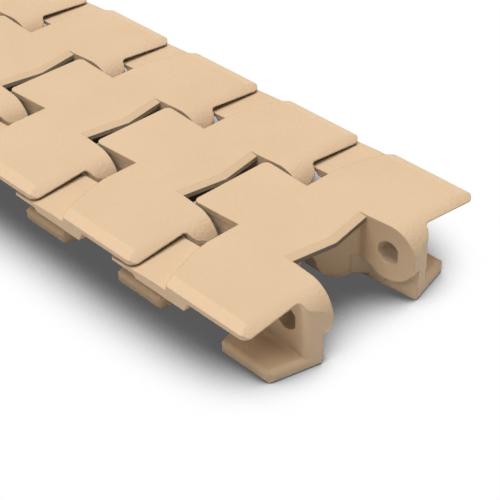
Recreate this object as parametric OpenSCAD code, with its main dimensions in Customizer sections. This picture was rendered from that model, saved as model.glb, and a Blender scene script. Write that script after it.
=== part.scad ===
// Side-flexing slat top chain with hold-down tabs: moulded links joined by steel D pins.
// X runs across the chain, Y along it towards its trailing end, Z up from the tab soles.
// A link is drawn about its own front pin: y = 0 on that pin's axis, z = 0 on the carrying face.

/* [Chain] */
// Number of links in the length
link_count = 11; // [3:1:20]
// Distance between neighbouring pin axes
pitch = 38.1; // [37.6:0.1:40]
// Height of the carrying face above the tab soles
chain_h = 20.5; // [20.1:0.1:24]
// Depth of the pin axis below the carrying face
pin_depth = 8; // [7.9:0.05:8.3]

/* [Wings] */
// Width across the wings
plate_w = 79; // [76:0.5:120]
// Distance from the pin axis forward to the wing's front edge
wing_lead = 5.3; // [4.8:0.1:5.4]
// How much further back that edge lies beside the ear
wing_sweep = 1.1; // [0:0.1:2]
// Thickness of the thin front of the wing, at its side
wing_t = 2.1; // [1.8:0.05:2.15]
// Thickness of the thin front of the wing, at the ear
wing_root_t = 1.3; // [1.1:0.05:1.7]
// Depth of the thick middle of the wing
rib_depth = 4.7; // [4.2:0.1:5.4]
// Distance from the pin axis back to the thick middle
rib_front = 14.6; // [12:0.1:16]
// Distance from the pin axis back to the end of the thick middle
rib_end = 32; // [29:0.1:34]
// Radius of the wing's front corner in plan
wing_corner_r = 2.2; // [1:0.1:5]
// Radius of the wing's rear corner in plan
step_corner_r = 0.8; // [0.3:0.1:2]
// Width of the bevel along the side of the wing
side_bevel_w = 3.2; // [1:0.1:5]
// Drop of that bevel at the side
side_bevel_drop = 1; // [0.4:0.05:1.2]
// Distance from the pin axis back to the edge of the recess
recess_y = 26; // [25:0.1:26.6]
// Distance from the pin axis back to the step at the side of the wing
step_side_y = 21.3; // [19:0.1:24]

/* [Ledge] */
// Distance from the pin axis back to the end of the ledge
ledge_end = 41; // [39:0.1:41.2]
// Depth of the ledge's top where it leaves the plate
ledge_depth = 2.35; // [2.3:0.05:2.5]
// Further fall of the ledge's top over its length
ledge_fall = 0.8; // [0.6:0.05:0.9]
// Depth of the ledge's underside
ledge_under = 3.8; // [3.7:0.05:4.2]
// Radius of the ledge's rear corner
ledge_corner_r = 0.8; // [0.4:0.1:3]

/* [Hinge] */
// Radius of the rounded front of the ears
nose_r = 8; // [7.6:0.05:8]
// Half distance between the ears at the root of the fork
fork_half_w = 13; // [12.9:0.05:13.5]
// Extra half distance between the ears at their front
fork_flare = 1.2; // [0.9:0.05:1.5]
// Distance from the pin axis back to the fork's inner corners
fork_root_y = 7; // [6.7:0.1:7.5]
// How far the middle of the fork's root stands forward of its corners
fork_vee = 2.2; // [1:0.1:2.3]
// Thickness of the lip that overhangs the fork's root
lip_t = 1.7; // [1.4:0.05:1.9]
// Width of the bevel along the lip
lip_bevel_w = 2.4; // [1:0.1:3]
// Drop of that bevel at the lip's edge
lip_bevel_drop = 0.5; // [0.2:0.05:0.8]
// Half width over the outer faces of the ears
ear_half_w = 21.5; // [20.5:0.1:22]
// Angle at which the front of ears, legs and tabs sweeps back
front_sweep = 13.8; // [8:0.2:18]
// Radius of the outer front corner of ear and leg
ear_corner_r = 2; // [0.6:0.1:2.5]
// Radius of the fillet between wing and ear
ear_fillet_r = 1.2; // [0.6:0.1:1.4]
// Radius of the hinge eye at the rear of the link
eye_r = 7.6; // [7.2:0.05:7.7]
// Radius of the steel pin
pin_r = 3.175; // [2.8:0.025:3.4]
// Distance from the pin axis to the pin's flat
pin_flat = 2.75; // [2.6:0.05:2.9]
// How far each pin end stops inside the ear's outer face
pin_inset = 0.5; // [0.2:0.1:1.5]
// Side flex that the waisted bore of the eye lets through, in degrees
side_flex = 4.5; // [3:0.1:5]
// Length of the straight waist in the middle of that bore
waist_l = 6; // [4:0.5:8]

/* [Tongue] */
// Half width of the tongue at its root
tongue_root_w = 11.8; // [11:0.1:12.2]
// Half width of the tongue at its rear end
tongue_end_w = 12.7; // [12:0.1:12.75]
// Distance from the rear pin axis to the end of the tongue
tongue_over = 3.2; // [2:0.1:3.4]
// Radius of the tongue's rear corners
tongue_corner_r = 1.6; // [0.5:0.1:2.5]

/* [Legs and tabs] */
// How far the leg's inner face stands back from the ear's inner face
leg_setback = 2.6; // [1:0.1:3]
// Distance from the pin axis back to the end of the straight leg
leg_end = 12; // [10:0.1:14]
// Distance from the pin axis back to the crotch where the legs meet
crotch_y = 15.5; // [14:0.1:17]
// Height of the body's underside above the tab soles
body_lift = 1.6; // [1:0.1:3]
// Radius of the rounded inner edge under each leg
arch_r = 6.5; // [4:0.1:7]
// Half width over the tabs
tab_half_w = 31; // [27:0.1:34]
// Thickness of the tab
tab_t = 3.4; // [3:0.1:5]
// Distance from the pin axis back to the tab's outer rear corner
tab_tail = 12.6; // [10:0.1:14]
// How much further back the tab reaches at the leg
tab_slant = 2.4; // [1:0.1:4]
// Radius of the tab's upper edges
tab_edge_r = 1.4; // [0.5:0.1:1.5]
// Radius of the tab's lower edges
tab_foot_r = 1; // [0.6:0.1:1.4]
// Radius of the tab's outer corners in plan
tab_corner_r = 2; // [1:0.1:3]
// Radius of the fillet between tab and leg
tab_fillet_r = 1.2; // [0.8:0.1:2]

/* [Fits] */
// Radial clearance of the pin in the eye
pin_run = 0.075; // [0.03:0.005:0.09]
// Radial clearance of the pin in the ears
pin_seat = 0.03; // [0.02:0.005:0.06]
// Side clearance between an ear and the ledge of the link in front
ear_gap = 0.8; // [0.7:0.05:1.1]

/* [Hidden] */
$fn = 96;
eps = 0.01;
link_names = [for (i = [1 : link_count]) str("link_", i < 10 ? "0" : "", i)];
pin_names = [for (i = [1 : link_count - 1]) str("pin_", i < 10 ? "0" : "", i)];

half_w = plate_w / 2;
wing_front = -wing_lead;
link_end = pitch + tongue_over;
eye_end = pitch + eye_r;
chain_l = nose_r + (link_count - 1) * pitch + eye_end;
chain_front = nose_r - chain_l / 2;
sole = -chain_h;
tab_top = sole + tab_t;
body_under = sole + body_lift;
// The leg starts half-way up the upright part of the tab's edge
leg_foot = sole + (tab_t + tab_foot_r - tab_edge_r) / 2;
fork_front_w = fork_half_w + fork_flare;
leg_in = fork_half_w + leg_setback;
// Mould draft leaves the leg's front and side this far inside the ear's
leg_draft = 0.05;
leg_out = ear_half_w - leg_draft;
ledge_in = ear_half_w + ear_gap;
ear_bore_r = pin_r + pin_seat;
ear_flat = pin_flat + pin_seat;
eye_bore_r = pin_r + pin_run;
// The crotch's walls start behind the eye's sweep
crotch_root_y = eye_r + 1.6;
crotch_r = 1.6;
// The pad round the ear's bore slopes up towards the fork's root
pad_rise = 2.8;
// The swept front starts just ahead of the nose, at the fork
sweep_start = -nose_r - 0.1;
// Longer than anything on the link
reach = 2 * pitch;

link_colour = [0.89, 0.77, 0.62];
pin_colour = [0.72, 0.73, 0.75];

// Where the swept front lies at a distance x from the middle.
function front_y(x) = sweep_start + (x - fork_front_w) * tan(front_sweep);

// A prism whose YZ profile is drawn in 2D, from x0 to x1.
module along_x(x0, x1)
    translate([x0, 0, 0]) rotate([90, 0, 90]) linear_extrude(x1 - x0) children();

// A prism whose XZ profile is drawn in 2D, from y0 to y1.
module along_y(y0, y1)
    translate([0, y1, 0]) rotate([90, 0, 0]) linear_extrude(y1 - y0) children();

// A prism whose plan is drawn in 2D, from z0 to z1.
module between(z0, z1)
    translate([0, 0, z0]) linear_extrude(z1 - z0) children();

module both() {
    children();
    mirror([1, 0, 0]) children();
}

// Rounds the convex corners of an outline.
module soften(r) offset(r, $fn = 32) offset(-r) children();

// Fills the concave corners of an outline with a radius.
module fill_corners(r) offset(-r, $fn = 32) offset(r) children();

// ---- Carrying plate with the rolled front edge, and the ears under it ----

// Outline of the wings and ears, with the steps down to the ledges at the rear.
module plate_plan() {
    intersection() {
        fill_corners(ear_fillet_r) {
            soften(wing_corner_r) polygon([
                [half_w, wing_front],
                [half_w, reach],
                [-half_w, reach],
                [-half_w, wing_front],
                [-ear_half_w, wing_front + wing_sweep],
                [ear_half_w, wing_front + wing_sweep]
            ]);
            both() swept_plan(fork_half_w, ear_half_w, recess_y, ear_corner_r);
        }
        soften(step_corner_r) polygon([
            [half_w, -reach],
            [half_w, step_side_y],
            [ledge_in + 5, recess_y - 0.8],
            [ledge_in, recess_y],
            [-ledge_in, recess_y],
            [-ledge_in - 5, recess_y - 0.8],
            [-half_w, step_side_y],
            [-half_w, -reach]
        ]);
    }
}

// Everything behind the swept front, out to x1, with the outer corner rounded.
module swept_plan(x0, x1, y1, r) {
    soften(r) polygon([
        [x0 - 2 * r, front_y(x0 - 2 * r)],
        [x1, front_y(x1)],
        [x1, y1],
        [x0 - 2 * r, y1]
    ]);
}

// Round nose about the pin, plate, and the pad that slopes up towards the fork's root.
module ear_side() {
    translate([0, -pin_depth]) circle(nose_r);
    translate([0, -rib_depth]) square([recess_y + 1, rib_depth]);
    polygon([
        [0, -rib_depth + 1],
        [crotch_root_y + 1, -rib_depth + 1],
        [crotch_root_y + 1, -pin_depth - nose_r + pad_rise + 0.5],
        [fork_root_y, -pin_depth - nose_r + pad_rise],
        [1, -pin_depth - nose_r + 0.1],
        [0, -pin_depth]
    ]);
}

// Everything under the wing outside an ear: thin front, sloped step, thick middle.
module under_wing() {
    fall = (wing_t - wing_root_t) / (half_w - ear_half_w);
    intersection() {
        along_x(ear_half_w, reach) polygon([
            [-reach, 0],
            [rib_front - 2.2, 0],
            [rib_front + 0.4, -rib_depth],
            [reach, -rib_depth],
            [reach, -reach],
            [-reach, -reach]
        ]);
        along_y(-reach, reach) polygon([
            [ear_half_w - 1, -wing_root_t - ear_fillet_r],
            [ear_half_w, -wing_root_t - ear_fillet_r],
            [ear_half_w + ear_fillet_r / 3, -wing_root_t - ear_fillet_r / 3],
            [ear_half_w + ear_fillet_r, -wing_root_t - fall * ear_fillet_r],
            [half_w + 1, -wing_t - fall],
            [half_w + 1, -reach],
            [ear_half_w - 1, -reach]
        ]);
    }
}

// Nose, plate and wings are one rolled surface.
module upper() {
    difference() {
        intersection() {
            between(-2 * nose_r - 1, 1) plate_plan();
            along_x(-half_w, half_w) ear_side();
        }
        both() under_wing();
        between(-reach, -lip_t) crotch_plan();
        between(-reach, reach) fork_plan();
        both() side_bevel();
        both() lip_bevel();
    }
}

// The open fork, between the flared inner faces of the ears.
module fork_plan() {
    polygon([
        [0, fork_root_y - fork_vee],
        [fork_half_w, fork_root_y],
        [fork_front_w, -nose_r],
        [fork_front_w, -reach],
        [-fork_front_w, -reach],
        [-fork_front_w, -nose_r],
        [-fork_half_w, fork_root_y]
    ]);
}

module side_bevel() {
    fall = side_bevel_drop / side_bevel_w;
    along_y(-reach, reach) polygon([
        [half_w - side_bevel_w, 0],
        [half_w + 1, -side_bevel_drop - fall],
        [half_w + 1, 1],
        [half_w - side_bevel_w, 1]
    ]);
}

// Bevel along one leg of the vee at the root of the fork.
module lip_bevel() {
    slope = lip_bevel_drop / lip_bevel_w;
    turn = atan2(fork_vee, fork_half_w);
    intersection() {
        translate([0, fork_root_y - fork_vee, 0]) rotate([0, 0, turn])
            along_x(-fork_half_w, 2 * fork_half_w) polygon([
                [lip_bevel_w, 0],
                [-1, -lip_bevel_drop - slope],
                [-1, 1],
                [lip_bevel_w, 1]
            ]);
        translate([0, 0, -lip_t]) cube([fork_half_w, fork_root_y + lip_bevel_w + 1, 2 * lip_t]);
    }
}

// ---- Ledges that run under the wings of the next link ----

module ledge() {
    intersection() {
        between(-rib_depth, -ledge_depth) soften(ledge_corner_r) polygon([
            [ledge_in, rib_front],
            [half_w, rib_front - 4],
            [half_w, ledge_end],
            [ledge_in, ledge_end]
        ]);
        along_x(0, half_w) polygon([
            [rib_front + 0.4, -rib_depth],
            [rib_end, -rib_depth],
            [rib_end + rib_depth - ledge_under, -ledge_under],
            [ledge_end, -ledge_under],
            [ledge_end, -ledge_depth - ledge_fall],
            [recess_y, -ledge_depth],
            [rib_front + 0.4, -ledge_depth]
        ]);
    }
}

// ---- Legs and the body they run into ----

// Straight leg with its swept front, from the pin's height down to the sole.
module leg() {
    between(leg_foot, -pin_depth) intersection() {
        translate([0, leg_draft]) swept_plan(fork_half_w, leg_out, leg_end, ear_corner_r);
        outside_fork();
    }
}

// Everything beyond the inner face of a leg.
module outside_fork() {
    polygon([
        [fork_front_w + leg_setback, sweep_start],
        [reach, sweep_start],
        [reach, reach],
        [leg_in, reach],
        [leg_in, fork_root_y]
    ]);
}

// The legs close in on each other and join the tongue.
module body_plan() {
    difference() {
        polygon([
            [-leg_in, 2],
            [-leg_in, fork_root_y],
            [-fork_half_w + 1, crotch_root_y + 1],
            [fork_half_w - 1, crotch_root_y + 1],
            [leg_in, fork_root_y],
            [leg_in, 2],
            [leg_out, 2],
            [leg_out, leg_end - 1],
            [tongue_root_w, recess_y - 3],
            [tongue_root_w, recess_y + 1],
            [-tongue_root_w, recess_y + 1],
            [-tongue_root_w, recess_y - 3],
            [-leg_out, leg_end - 1],
            [-leg_out, 2]
        ]);
        crotch_plan();
    }
}

// The open space ahead of the crotch, under the lip.
module crotch_plan() {
    soften(crotch_r) polygon([
        [0, crotch_y],
        [fork_half_w, crotch_root_y],
        [fork_half_w, -reach],
        [-fork_half_w, -reach],
        [-fork_half_w, crotch_root_y]
    ]);
}

// Hollow underneath between the rounded inner edges of the legs.
module arch_side() {
    edge_x = arch_r + 3;
    edge_z = body_under + arch_r;
    difference() {
        translate([-edge_x, sole - 1]) square([2 * edge_x, edge_z - sole + 1]);
        for (side = [-1, 1])
            translate([side * edge_x, edge_z]) circle(arch_r);
    }
    translate([0, edge_z - 1]) circle(3);
}

module body() {
    difference() {
        between(body_under, -1) body_plan();
        along_y(-reach, recess_y - 2) arch_side();
        rear_slope();
    }
}

// The body's underside rises towards the tongue.
module rear_slope() {
    along_x(-half_w, half_w) polygon([
        [leg_end + 2, body_under - eps],
        [recess_y + 2, -pin_depth - 3],
        [reach, -pin_depth - 3],
        [reach, body_under - 1],
        [leg_end + 2, body_under - 1]
    ]);
}

// ---- Tongue with the hinge eye ----

module tongue_plan(end) {
    soften(tongue_corner_r) polygon([
        [-tongue_end_w, end],
        [-tongue_root_w, recess_y],
        [-tongue_root_w, crotch_y],
        [tongue_root_w, crotch_y],
        [tongue_root_w, recess_y],
        [tongue_end_w, end]
    ]);
}

// The round eye stands out behind the tongue's thin rear lip.
module tongue_side() {
    translate([pitch, -pin_depth]) circle(eye_r);
    polygon([
        [crotch_y, -1],
        [pitch, -1],
        [pitch, -pin_depth],
        [pitch - 2, -pin_depth - eye_r + 0.3],
        [recess_y, -pin_depth - 3.6],
        [crotch_y, -pin_depth - 2.6]
    ]);
}

module tongue() {
    intersection() {
        between(sole, -0.5) tongue_plan(eye_end);
        along_x(-half_w, half_w) tongue_side();
    }
    between(-lip_t, 0) tongue_plan(link_end);
}

// Straight in the middle and wider towards both ends, so that the pin can swing sideways.
module waisted_bore() {
    flare_l = tongue_end_w - waist_l / 2 + 1;
    flare_r = eye_bore_r + flare_l * tan(side_flex);
    rotate([0, 90, 0]) {
        cylinder(h = waist_l + 2 * eps, r = eye_bore_r, center = true);
        for (way = [0, 180])
            rotate([way, 0, 0]) translate([0, 0, waist_l / 2])
                cylinder(h = flare_l, r1 = eye_bore_r, r2 = flare_r);
    }
}

// D section of the pin and of the ear's bore, with the flat towards the front.
module d_section(r, flat_at) {
    intersection() {
        circle(r);
        translate([-flat_at, -r]) square([flat_at + r, 2 * r]);
    }
}

// ---- Hold-down tabs ----

module tab_plan() {
    intersection() {
        soften(tab_corner_r) polygon([
            [0, front_y(0)],
            [tab_half_w, front_y(tab_half_w)],
            [tab_half_w, tab_tail],
            [ear_half_w, tab_tail + tab_slant],
            [0, tab_tail + tab_slant]
        ]);
        outside_fork();
    }
}

// Cross-section of a tab that ends at x = 0, with its upper and lower edge rounded.
module rounded_end() {
    translate([-tab_edge_r, tab_top - tab_edge_r]) circle(tab_edge_r);
    translate([-tab_foot_r, sole + tab_foot_r]) circle(tab_foot_r);
    translate([-reach, sole]) square([reach - tab_edge_r, tab_t]);
    translate([-tab_edge_r - 1, sole]) square([tab_edge_r + 1 - tab_foot_r, tab_foot_r]);
    translate([-tab_edge_r - 1, sole + tab_foot_r])
        square([tab_edge_r + 1, tab_t - tab_edge_r - tab_foot_r]);
}

module tab() {
    tail_turn = atan2(tab_slant, tab_half_w - ear_half_w);
    intersection() {
        between(sole, tab_top) tab_plan();
        along_y(-reach, reach) translate([tab_half_w, 0]) rounded_end();
        // Rounded edges along the swept front
        translate([tab_half_w, front_y(tab_half_w), 0]) rotate([0, 0, front_sweep])
            along_x(-reach, reach) mirror([1, 0]) rounded_end();
        // Rounded edges along the slanted rear
        translate([tab_half_w, tab_tail, 0]) rotate([0, 0, -tail_turn])
            along_x(-reach, reach) rounded_end();
    }
}

// Fillet between the top of the tab and the leg, running out towards both its ends.
module tab_fillet() {
    fillet_front = front_y(ear_half_w) + ear_corner_r;
    fillet_rear = leg_end - 1;
    run_out = 3 * tab_fillet_r;
    intersection() {
        along_x(leg_out - 1, leg_out + tab_fillet_r) polygon([
            [fillet_front, tab_top - 1],
            [fillet_front, tab_top],
            [fillet_front + run_out, tab_top + tab_fillet_r],
            [fillet_rear - run_out, tab_top + tab_fillet_r],
            [fillet_rear, tab_top],
            [fillet_rear, tab_top - 1]
        ]);
        along_y(-reach, reach) difference() {
            translate([leg_out - 1, tab_top - 1]) square(tab_fillet_r + 1);
            translate([leg_out + tab_fillet_r, tab_top + tab_fillet_r])
                circle(tab_fillet_r);
        }
    }
}

// ---- Whole pieces ----

module link_solid() {
    difference() {
        union() {
            upper();
            body();
            both() ledge();
            both() leg();
            both() tab();
            both() tab_fillet();
            tongue();
        }
        translate([0, 0, -pin_depth])
            along_x(-half_w, half_w) d_section(ear_bore_r, ear_flat);
        translate([0, pitch, -pin_depth]) waisted_bore();
    }
}

module link(i) {
    color(link_colour)
        translate([0, chain_front + (i - 1) * pitch, chain_h]) link_solid();
}

// Pin i locks in the ears of link i + 1 and turns in the eye of link i.
module pin(i) {
    color(pin_colour)
        translate([0, chain_front + i * pitch, chain_h - pin_depth])
            along_x(pin_inset - ear_half_w, ear_half_w - pin_inset) d_section(pin_r, pin_flat);
}

for (i = [1 : link_count])
    link(i);

for (i = [1 : link_count - 1])
    pin(i);
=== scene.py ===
# %% [markdown]
# # A length of slat top chain
#
# Eleven moulded plastic links carry goods on their flat tops. Steel pins join them, so that the
# chain can wrap round a sprocket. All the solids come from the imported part. This lesson gives
# them their finishes, lays them on a clear sheet and lights them.

# %% Load the chain
import bpy
import math
from mathutils import Euler, Matrix, Vector


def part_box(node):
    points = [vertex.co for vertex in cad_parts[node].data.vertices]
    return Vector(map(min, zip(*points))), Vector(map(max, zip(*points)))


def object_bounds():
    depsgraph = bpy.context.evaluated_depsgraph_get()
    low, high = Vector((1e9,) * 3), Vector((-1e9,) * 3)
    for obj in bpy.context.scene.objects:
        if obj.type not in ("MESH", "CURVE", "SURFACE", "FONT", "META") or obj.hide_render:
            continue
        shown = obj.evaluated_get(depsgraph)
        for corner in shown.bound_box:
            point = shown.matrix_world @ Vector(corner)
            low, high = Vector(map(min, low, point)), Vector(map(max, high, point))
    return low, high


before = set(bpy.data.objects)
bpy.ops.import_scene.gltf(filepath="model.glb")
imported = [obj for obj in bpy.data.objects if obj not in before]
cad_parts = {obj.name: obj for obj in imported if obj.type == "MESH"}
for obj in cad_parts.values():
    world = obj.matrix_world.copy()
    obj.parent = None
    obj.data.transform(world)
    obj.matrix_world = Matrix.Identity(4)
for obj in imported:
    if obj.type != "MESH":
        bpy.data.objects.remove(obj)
cad_low, cad_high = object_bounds()
link_names = sorted(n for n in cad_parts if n.startswith("link_"))
pin_names = sorted(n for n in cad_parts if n.startswith("pin_"))
print(len(link_names), "links and", len(pin_names), "pins,", round(cad_high.y - cad_low.y, 4), "m long")

# %% [markdown]
# ## Helpers for materials
#
# A material is a small graph of nodes. Three helpers keep its making short: one adds a node
# with its settings, one joins two sockets, and one starts a material with its Principled shader.

# %% Node helpers
def add(tree, kind, **settings):
    node = tree.nodes.new("ShaderNode" + kind)
    for name, value in settings.items():
        if name in node.inputs:
            node.inputs[name].default_value = value
        else:
            setattr(node, name, value)
    return node


def join(tree, start, end):
    tree.links.new(start, end)


def new_finish(name):
    material = bpy.data.materials.new(name)
    material.use_nodes = True
    return material, material.node_tree, material.node_tree.nodes["Principled BSDF"]


print("helpers ready")

# %% [markdown]
# ## Uneven finish, shared by plastic and steel
#
# No made surface has quite one colour or one shine. Moulded plastic cools unevenly and is
# rubbed by goods, and steel is dulled by handling. Soft clouds of noise in the object's own
# coordinates do for both. The clouds are a node group, so that each material can give them its
# own size and colours. A group puts out values only: the shader stays in the material.

# %% Build the shared group
def make_uneven_group():
    group = bpy.data.node_groups.new("uneven finish", "ShaderNodeTree")
    face = group.interface
    for name, kind in (
        ("Place", "NodeSocketVector"),
        ("Cloud Scale", "NodeSocketFloat"),
        ("Light Color", "NodeSocketColor"),
        ("Dull Color", "NodeSocketColor"),
        ("Smooth", "NodeSocketFloat"),
        ("Rough", "NodeSocketFloat"),
    ):
        face.new_socket(name, in_out="INPUT", socket_type=kind)
    face.new_socket("Color", in_out="OUTPUT", socket_type="NodeSocketColor")
    face.new_socket("Roughness", in_out="OUTPUT", socket_type="NodeSocketFloat")

    given = group.nodes.new("NodeGroupInput")
    result = group.nodes.new("NodeGroupOutput")
    clouds = add(group, "TexNoise", Detail=3.0, Roughness=0.55)
    spread = add(group, "MapRange", **{"From Min": 0.32, "From Max": 0.68})
    tint = add(group, "Mix", data_type="RGBA")
    shine = add(group, "MapRange")
    join(group, given.outputs["Place"], clouds.inputs["Vector"])
    join(group, given.outputs["Cloud Scale"], clouds.inputs["Scale"])
    join(group, clouds.outputs["Fac"], spread.inputs["Value"])
    join(group, spread.outputs["Result"], tint.inputs[0])
    join(group, given.outputs["Light Color"], tint.inputs[6])
    join(group, given.outputs["Dull Color"], tint.inputs[7])
    join(group, spread.outputs["Result"], shine.inputs["Value"])
    join(group, given.outputs["Smooth"], shine.inputs["To Min"])
    join(group, given.outputs["Rough"], shine.inputs["To Max"])
    join(group, tint.outputs[2], result.inputs["Color"])
    join(group, shine.outputs["Result"], result.inputs["Roughness"])
    return group


uneven = make_uneven_group()
print("group:", uneven.name)


def place_uneven(tree, shader, scale, light, dull, smooth, rough):
    """Puts the shared group into one material and joins it to the shader."""
    node = tree.nodes.new("ShaderNodeGroup")
    node.node_tree = uneven
    place = add(tree, "TexCoord")
    join(tree, place.outputs["Object"], node.inputs["Place"])
    node.inputs["Cloud Scale"].default_value = scale
    node.inputs["Light Color"].default_value = (*light, 1)
    node.inputs["Dull Color"].default_value = (*dull, 1)
    node.inputs["Smooth"].default_value = smooth
    node.inputs["Rough"].default_value = rough
    join(tree, node.outputs["Roughness"], shader.inputs["Roughness"])
    return place.outputs["Object"], node.outputs["Color"]


# %% [markdown]
# ## Dust in the corners, shared by plastic and steel
#
# The colour is painted darker and greyer wherever a point is closed in, as painted shade: under
# the wings, round the pins and in the gaps between links. An Ambient Occlusion node tells how
# closed in a point is. The group turns that into a soft mask and mixes the painted shade over the
# finish's own colour. The node itself stays in each material, and its mask goes in as a value.

# %% Build the painted shade group
def make_painted_shade_group():
    group = bpy.data.node_groups.new("corner painted shade", "ShaderNodeTree")
    face = group.interface
    for name, kind in (
        ("Openness", "NodeSocketFloat"),
        ("Unshaded Color", "NodeSocketColor"),
        ("Painted Shade Color", "NodeSocketColor"),
        ("Unshaded Above", "NodeSocketFloat"),
        ("Amount", "NodeSocketFloat"),
    ):
        face.new_socket(name, in_out="INPUT", socket_type=kind)
    face.new_socket("Color", in_out="OUTPUT", socket_type="NodeSocketColor")

    given = group.nodes.new("NodeGroupInput")
    result = group.nodes.new("NodeGroupOutput")
    # Painted shade: the more closed in a point is, the more of the shade colour covers its own colour.
    cover = add(group, "MapRange", **{"From Min": 0.0, "To Max": 0.0})
    layer = add(group, "Mix", data_type="RGBA")
    join(group, given.outputs["Openness"], cover.inputs["Value"])
    join(group, given.outputs["Unshaded Above"], cover.inputs["From Max"])
    join(group, given.outputs["Amount"], cover.inputs["To Min"])
    join(group, cover.outputs["Result"], layer.inputs[0])
    join(group, given.outputs["Unshaded Color"], layer.inputs[6])
    join(group, given.outputs["Painted Shade Color"], layer.inputs[7])
    join(group, layer.outputs[2], result.inputs["Color"])
    return group


painted_shade_group = make_painted_shade_group()
print("group:", painted_shade_group.name)


def lay_painted_shade(tree, unshaded_color, target, colour, unshaded_above, amount, reach):
    """Puts the painted shade group between the unshaded colour and the socket that takes it."""
    # The AO node tells how closed in each point is, for the painted shade.
    closed = add(tree, "AmbientOcclusion", samples=12, Distance=reach)
    node = tree.nodes.new("ShaderNodeGroup")
    node.node_tree = painted_shade_group
    node.inputs["Painted Shade Color"].default_value = (*colour, 1)
    node.inputs["Unshaded Above"].default_value = unshaded_above
    node.inputs["Amount"].default_value = amount
    join(tree, closed.outputs["AO"], node.inputs["Openness"])
    join(tree, unshaded_color, node.inputs["Unshaded Color"])
    join(tree, node.outputs["Color"], target)


# %% [markdown]
# ## Bevels and the lip's front face
#
# Two shallow bevels frame each top. The one along the wings' sides is painted a little lighter
# than the top, as painted light, and the one along the fork's lip a little darker, as painted
# shade. A bevel is told by its slope: its normal, in the object's own coordinates, leans about 10
# to 20 degrees from upright. Its distance from the middle of the chain then tells which of the two
# it is. The lip's steep front face stands in a narrow gap and is painted dark, as painted shade, so
# that the gap reads as deep. It is told by facing the chain's leading end, close under the top.

# %% Paint light and shade on the bevels
SIDE_BEVEL_FROM = 0.0363
LIP_BEVEL_TO = 0.0131
LIP_FACE_TO = 0.01295
LIP_FACE_FLOOR = cad_high.z - 0.0026
FACES_FRONT = -0.5
# Painted light: the side bevels are painted lighter than the top.
SIDE_BEVEL_PAINTED_LIGHT = (0.760, 0.540, 0.338)
# Painted shade: the lip bevel is painted darker than the top.
LIP_BEVEL_PAINTED_SHADE = (0.640, 0.450, 0.270)
# Painted shade: the lip's front face, deep in its narrow gap, is painted dark.
LIP_FACE_PAINTED_SHADE = (0.17, 0.125, 0.085)

# How upright a normal is: 1 on the flat top, less on a slope.
TOP_ENDS = 0.988
BEVEL_BEGINS = 0.982
BEVEL_ENDS = 0.945
BEVEL_GONE = 0.93


def both(tree, first, second):
    """Multiplies two masks, so that only what both cover stays."""
    node = add(tree, "Math", operation="MULTIPLY")
    join(tree, first, node.inputs[0])
    join(tree, second, node.inputs[1])
    return node.outputs[0]


def compare(tree, value, operation, limit):
    """A mask: 1 where a value passes a limit, and 0 elsewhere."""
    node = add(tree, "Math", operation=operation)
    node.inputs[1].default_value = limit
    join(tree, value, node.inputs[0])
    return node.outputs[0]


def paint(tree, color, mask, tone):
    """Lays a tone over a colour wherever the mask is 1."""
    layer = add(tree, "Mix", data_type="RGBA")
    layer.inputs[7].default_value = (*tone, 1)
    join(tree, mask, layer.inputs[0])
    join(tree, color, layer.inputs[6])
    return layer.outputs[2]


def paint_bevel_light_and_shade(tree, place, color):
    own = add(tree, "TexCoord")
    lean = add(tree, "SeparateXYZ")
    across = add(tree, "SeparateXYZ")
    half = add(tree, "Math", operation="ABSOLUTE")
    join(tree, own.outputs["Normal"], lean.inputs["Vector"])
    join(tree, place, across.inputs["Vector"])
    join(tree, across.outputs["X"], half.inputs[0])

    leaning = add(tree, "MapRange", **{"From Min": TOP_ENDS, "From Max": BEVEL_BEGINS})
    shallow = add(tree, "MapRange", **{"From Min": BEVEL_GONE, "From Max": BEVEL_ENDS})
    join(tree, lean.outputs["Z"], leaning.inputs["Value"])
    join(tree, lean.outputs["Z"], shallow.inputs["Value"])
    bevel = both(tree, leaning.outputs["Result"], shallow.outputs["Result"])

    front = compare(tree, lean.outputs["Y"], "LESS_THAN", FACES_FRONT)
    high = compare(tree, across.outputs["Z"], "GREATER_THAN", LIP_FACE_FLOOR)
    face = both(tree, front, high)

    # The side bevels get painted light; the lip bevel and the lip's front face get painted shade.
    for kind, test, limit, tone in (
        (bevel, "GREATER_THAN", SIDE_BEVEL_FROM, SIDE_BEVEL_PAINTED_LIGHT),
        (bevel, "LESS_THAN", LIP_BEVEL_TO, LIP_BEVEL_PAINTED_SHADE),
        (face, "LESS_THAN", LIP_FACE_TO, LIP_FACE_PAINTED_SHADE),
    ):
        here = compare(tree, half.outputs[0], test, limit)
        color = paint(tree, color, both(tree, here, kind), tone)
    return color


print("bevels told by a slope of", round(math.degrees(math.acos(BEVEL_BEGINS))), "degrees or more")

# %% [markdown]
# ## Link plastic
#
# The links are matt tan plastic. A fine even grain covers every face, as a lightly sparked mould
# leaves it, and no edge is knife sharp. The grain is a Bump node fed by two noises, about 0.4 and
# 0.8 of a millimetre across. A Bevel node ahead of it rounds each edge by half a millimetre in
# shading alone, so the solids stay as made.

# %% Make the link plastic
LIGHT_TAN = (0.718, 0.512, 0.322)
DULL_TAN = (0.692, 0.490, 0.304)
# Painted shade colour: the plastic is painted darker and greyer where it is closed in.
PLASTIC_PAINTED_SHADE = (0.42, 0.42, 0.37)
EDGE_RADIUS = 0.0005
GRAIN_DEPTH = 0.0002


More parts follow.
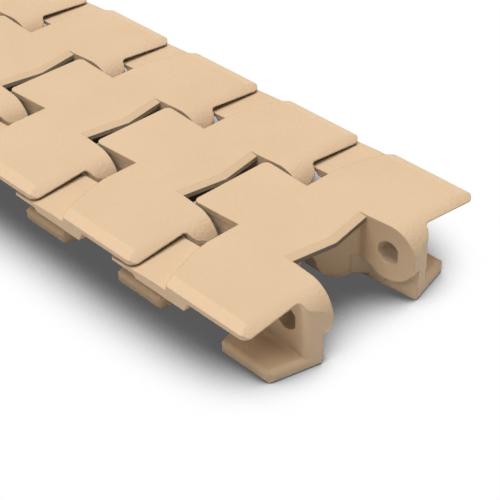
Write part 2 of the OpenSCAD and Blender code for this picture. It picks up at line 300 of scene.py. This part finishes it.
def make_link_plastic():
    material, tree, shader = new_finish("tan moulded plastic")
    place, color = place_uneven(
        tree, shader, scale=42.0, light=LIGHT_TAN, dull=DULL_TAN, smooth=0.46, rough=0.58
    )
    # Painted light on the side bevels, painted shade on the lip bevel and the lip's front face.
    color = paint_bevel_light_and_shade(tree, place, color)
    base = shader.inputs["Base Color"]
    # Painted shade is laid over the plastic's colour in closed-in places.
    lay_painted_shade(tree, color, base, colour=PLASTIC_PAINTED_SHADE, unshaded_above=0.6, amount=0.7, reach=0.02)
    shader.inputs["IOR"].default_value = 1.48
    shader.inputs["Specular IOR Level"].default_value = 0.4

    fine = add(tree, "TexNoise", Scale=2600.0, Detail=2.0, Roughness=0.6)
    coarse = add(tree, "TexNoise", Scale=1200.0, Detail=1.0)
    grain = add(tree, "Mix", data_type="FLOAT", Factor=0.6)
    edge = add(tree, "Bevel", samples=6, Radius=EDGE_RADIUS)
    bump = add(tree, "Bump", Strength=1.1, Distance=GRAIN_DEPTH)
    join(tree, place, fine.inputs["Vector"])
    join(tree, place, coarse.inputs["Vector"])
    join(tree, fine.outputs["Fac"], grain.inputs["A"])
    join(tree, coarse.outputs["Fac"], grain.inputs["B"])
    join(tree, grain.outputs["Result"], bump.inputs["Height"])
    join(tree, edge.outputs["Normal"], bump.inputs["Normal"])
    join(tree, bump.outputs["Normal"], shader.inputs["Normal"])
    return material


link_plastic = make_link_plastic()
print("finish:", link_plastic.name)

# %% [markdown]
# ## Pin steel
#
# The pins are made as ground steel. Grinding leaves fine lines round a pin. The pin's length lies
# along X, so a Mapping node squeezes the noise far more in X than in Y and Z, which draws it out
# into lines round the pin. The lines drive a slight bump.

# %% Make the pin steel
BRIGHT_STEEL = (0.56, 0.56, 0.57)
DULL_STEEL = (0.44, 0.44, 0.45)
# Painted shade colour: the steel is painted darker where it is closed in, round the pins.
STEEL_PAINTED_SHADE = (0.22, 0.21, 0.20)
LINES_ACROSS_PIN = (9000.0, 500.0, 500.0)


def make_pin_steel():
    material, tree, shader = new_finish("ground pin steel")
    place, color = place_uneven(
        tree, shader, scale=300.0, light=BRIGHT_STEEL, dull=DULL_STEEL, smooth=0.24, rough=0.38
    )
    base = shader.inputs["Base Color"]
    # Painted shade is laid over the steel's colour in closed-in places.
    lay_painted_shade(tree, color, base, colour=STEEL_PAINTED_SHADE, unshaded_above=0.5, amount=0.5, reach=0.01)
    shader.inputs["Metallic"].default_value = 1.0
    squeeze = add(tree, "Mapping", Scale=LINES_ACROSS_PIN)
    lines = add(tree, "TexNoise", Scale=1.0, Detail=2.0)
    bump = add(tree, "Bump", Strength=0.12, Distance=0.0001)
    join(tree, place, squeeze.inputs["Vector"])
    join(tree, squeeze.outputs["Vector"], lines.inputs["Vector"])
    join(tree, lines.outputs["Fac"], bump.inputs["Height"])
    join(tree, bump.outputs["Normal"], shader.inputs["Normal"])
    return material


pin_steel = make_pin_steel()
print("finish:", pin_steel.name)

# %% [markdown]
# ## Dress the solids
#
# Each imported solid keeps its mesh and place. Only the material in its slots changes.

# %% Give every solid its finish
def dress(names, material):
    for name in names:
        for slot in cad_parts[name].material_slots:
            slot.link = "OBJECT"
            slot.material = material


dress(link_names, link_plastic)
dress(pin_names, pin_steel)
print("dressed", len(link_names) + len(pin_names), "solids")

# %% [markdown]
# ## Floor
#
# The chain lies on its tab soles, on a thin sheet. To bounced light the sheet is plain and white,
# and brightens the undersides. To the camera it is clear, and the white world shows through, so
# a length of chain that reaches below the sheet in another pose still shows. The lamps cast no
# shadow on a clear sheet, so one is drawn: Ambient Occlusion tells how much of the sky the chain
# covers at each point, and a smooth step turns that into the grey that tints what is seen.

# %% Lay the clear sheet
def any_ray(tree, *kinds):
    """A mask: 1 for the named kinds of ray, such as the camera's own, and 0 for the rest."""
    path = add(tree, "LightPath")
    mask = path.outputs["Is " + kinds[0] + " Ray"]
    for kind in kinds[1:]:
        pick = add(tree, "Math", operation="MAXIMUM")
        join(tree, mask, pick.inputs[0])
        join(tree, path.outputs["Is " + kind + " Ray"], pick.inputs[1])
        mask = pick.outputs[0]
    return mask


SHEET_GREY = 0.82
FLOOR_SIZE = 6.0
FLOOR_GAP = 0.00002
SHADOW_REACH = 0.14
CLOSED_IN = 0.3
WIDE_OPEN = 0.8
DARKEST_GREY = 0.1


def make_sheet_finish():
    material, tree, sheet = new_finish("white light table")
    sheet.inputs["Base Color"].default_value = (SHEET_GREY, SHEET_GREY, SHEET_GREY, 1)
    sheet.inputs["Roughness"].default_value = 0.9
    sheet.inputs["Specular IOR Level"].default_value = 0.1
    open_sky = add(tree, "AmbientOcclusion", samples=32, Distance=SHADOW_REACH)
    fade = add(tree, "MapRange", interpolation_type="SMOOTHSTEP")
    fade.inputs["From Min"].default_value = CLOSED_IN
    fade.inputs["From Max"].default_value = WIDE_OPEN
    fade.inputs["To Min"].default_value = DARKEST_GREY
    clear = add(tree, "BsdfTransparent")
    pick = add(tree, "MixShader")
    seen = any_ray(tree, "Camera", "Glossy", "Transmission", "Shadow")
    join(tree, open_sky.outputs["AO"], fade.inputs["Value"])
    join(tree, fade.outputs["Result"], clear.inputs["Color"])
    join(tree, seen, pick.inputs[0])
    join(tree, sheet.outputs[0], pick.inputs[1])
    join(tree, clear.outputs[0], pick.inputs[2])
    join(tree, pick.outputs[0], tree.nodes["Material Output"].inputs["Surface"])
    return material


bpy.ops.object.select_all(action="DESELECT")
bpy.ops.mesh.primitive_plane_add(size=FLOOR_SIZE, location=(0, 0, cad_low.z - FLOOR_GAP))
floor = bpy.context.object
floor.name = "studio_floor"
floor.data.materials.append(make_sheet_finish())
print("floor at", round(floor.location.z, 5))

# %% [markdown]
# ## Light
#
# Plain soft studio light. A large panel hangs almost straight over the chain, so the fronts of
# the links are darker than their tops. A small lamp fills in from the left. The world adds a weak
# even light from all round, and the camera sees it as white.

# %% Hang the lights
WORLD_LIGHT = 0.05
CHAIN_MIDDLE = (0, 0, 0)


def make_world():
    world = bpy.data.worlds.new("studio")
    bpy.context.scene.world = world
    world.use_nodes = True
    tree = world.node_tree
    even = tree.nodes["Background"]
    even.inputs["Color"].default_value = (1, 1, 1, 1)
    even.inputs["Strength"].default_value = WORLD_LIGHT
    white = add(tree, "Background", Color=(1, 1, 1, 1), Strength=1.0)
    pick = add(tree, "MixShader")
    seen = any_ray(tree, "Camera", "Glossy", "Transmission")
    join(tree, seen, pick.inputs[0])
    join(tree, even.outputs[0], pick.inputs[1])
    join(tree, white.outputs[0], pick.inputs[2])
    join(tree, pick.outputs[0], tree.nodes["World Output"].inputs["Surface"])


def hang_panel(name, place, target, size, watts):
    lamp = bpy.data.lights.new(name, "AREA")
    lamp.shape = "DISK"
    lamp.size = size
    lamp.energy = watts
    panel = bpy.data.objects.new(name, lamp)
    bpy.context.scene.collection.objects.link(panel)
    panel.location = place
    panel.rotation_mode = "QUATERNION"
    panel.rotation_quaternion = (Vector(target) - Vector(place)).to_track_quat("-Z", "Y")
    print(name, "at", [round(v, 2) for v in place])


make_world()
hang_panel("overhead_panel", (0.08, -0.1, 1.25), CHAIN_MIDDLE, size=1.5, watts=18.1)
hang_panel("left_fill", (-0.95, -0.15, 0.9), CHAIN_MIDDLE, size=0.5, watts=3.7)

# %% [markdown]
# ## Camera
#
# A long lens, about 100 mm, looks down at 37 degrees over the left front corner. Its distance is
# measured from the first link's front and top, so it follows the chain if the length changes. It
# is turned half a degree about its own axis.

# %% Set the camera
LOOK_DOWN = 36.57
TURN = -43.66
ROLL = -0.5
LENS = 101.455
FROM_MIDDLE_X = -0.20030
FROM_FRONT_Y = -0.16744
FROM_TOP_Z = 0.19693
link_low, link_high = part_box("link_01")
camera_data = bpy.data.cameras.new("camera")
camera_data.sensor_width = 36.0
camera_data.lens = LENS
camera_data.clip_start = 0.01
camera = bpy.data.objects.new("camera", camera_data)
bpy.context.scene.collection.objects.link(camera)
camera.location = Vector((FROM_MIDDLE_X, link_low.y + FROM_FRONT_Y, link_high.z + FROM_TOP_Z))
aim = Euler((math.radians(90 - LOOK_DOWN), 0, math.radians(TURN))).to_matrix()
aim = aim @ Matrix.Rotation(math.radians(ROLL), 3, "Z")
camera.rotation_euler = aim.to_euler()
bpy.context.scene.camera = camera
bpy.context.scene.view_settings.view_transform = "Standard"
print("camera at", [round(v, 4) for v in camera.location])
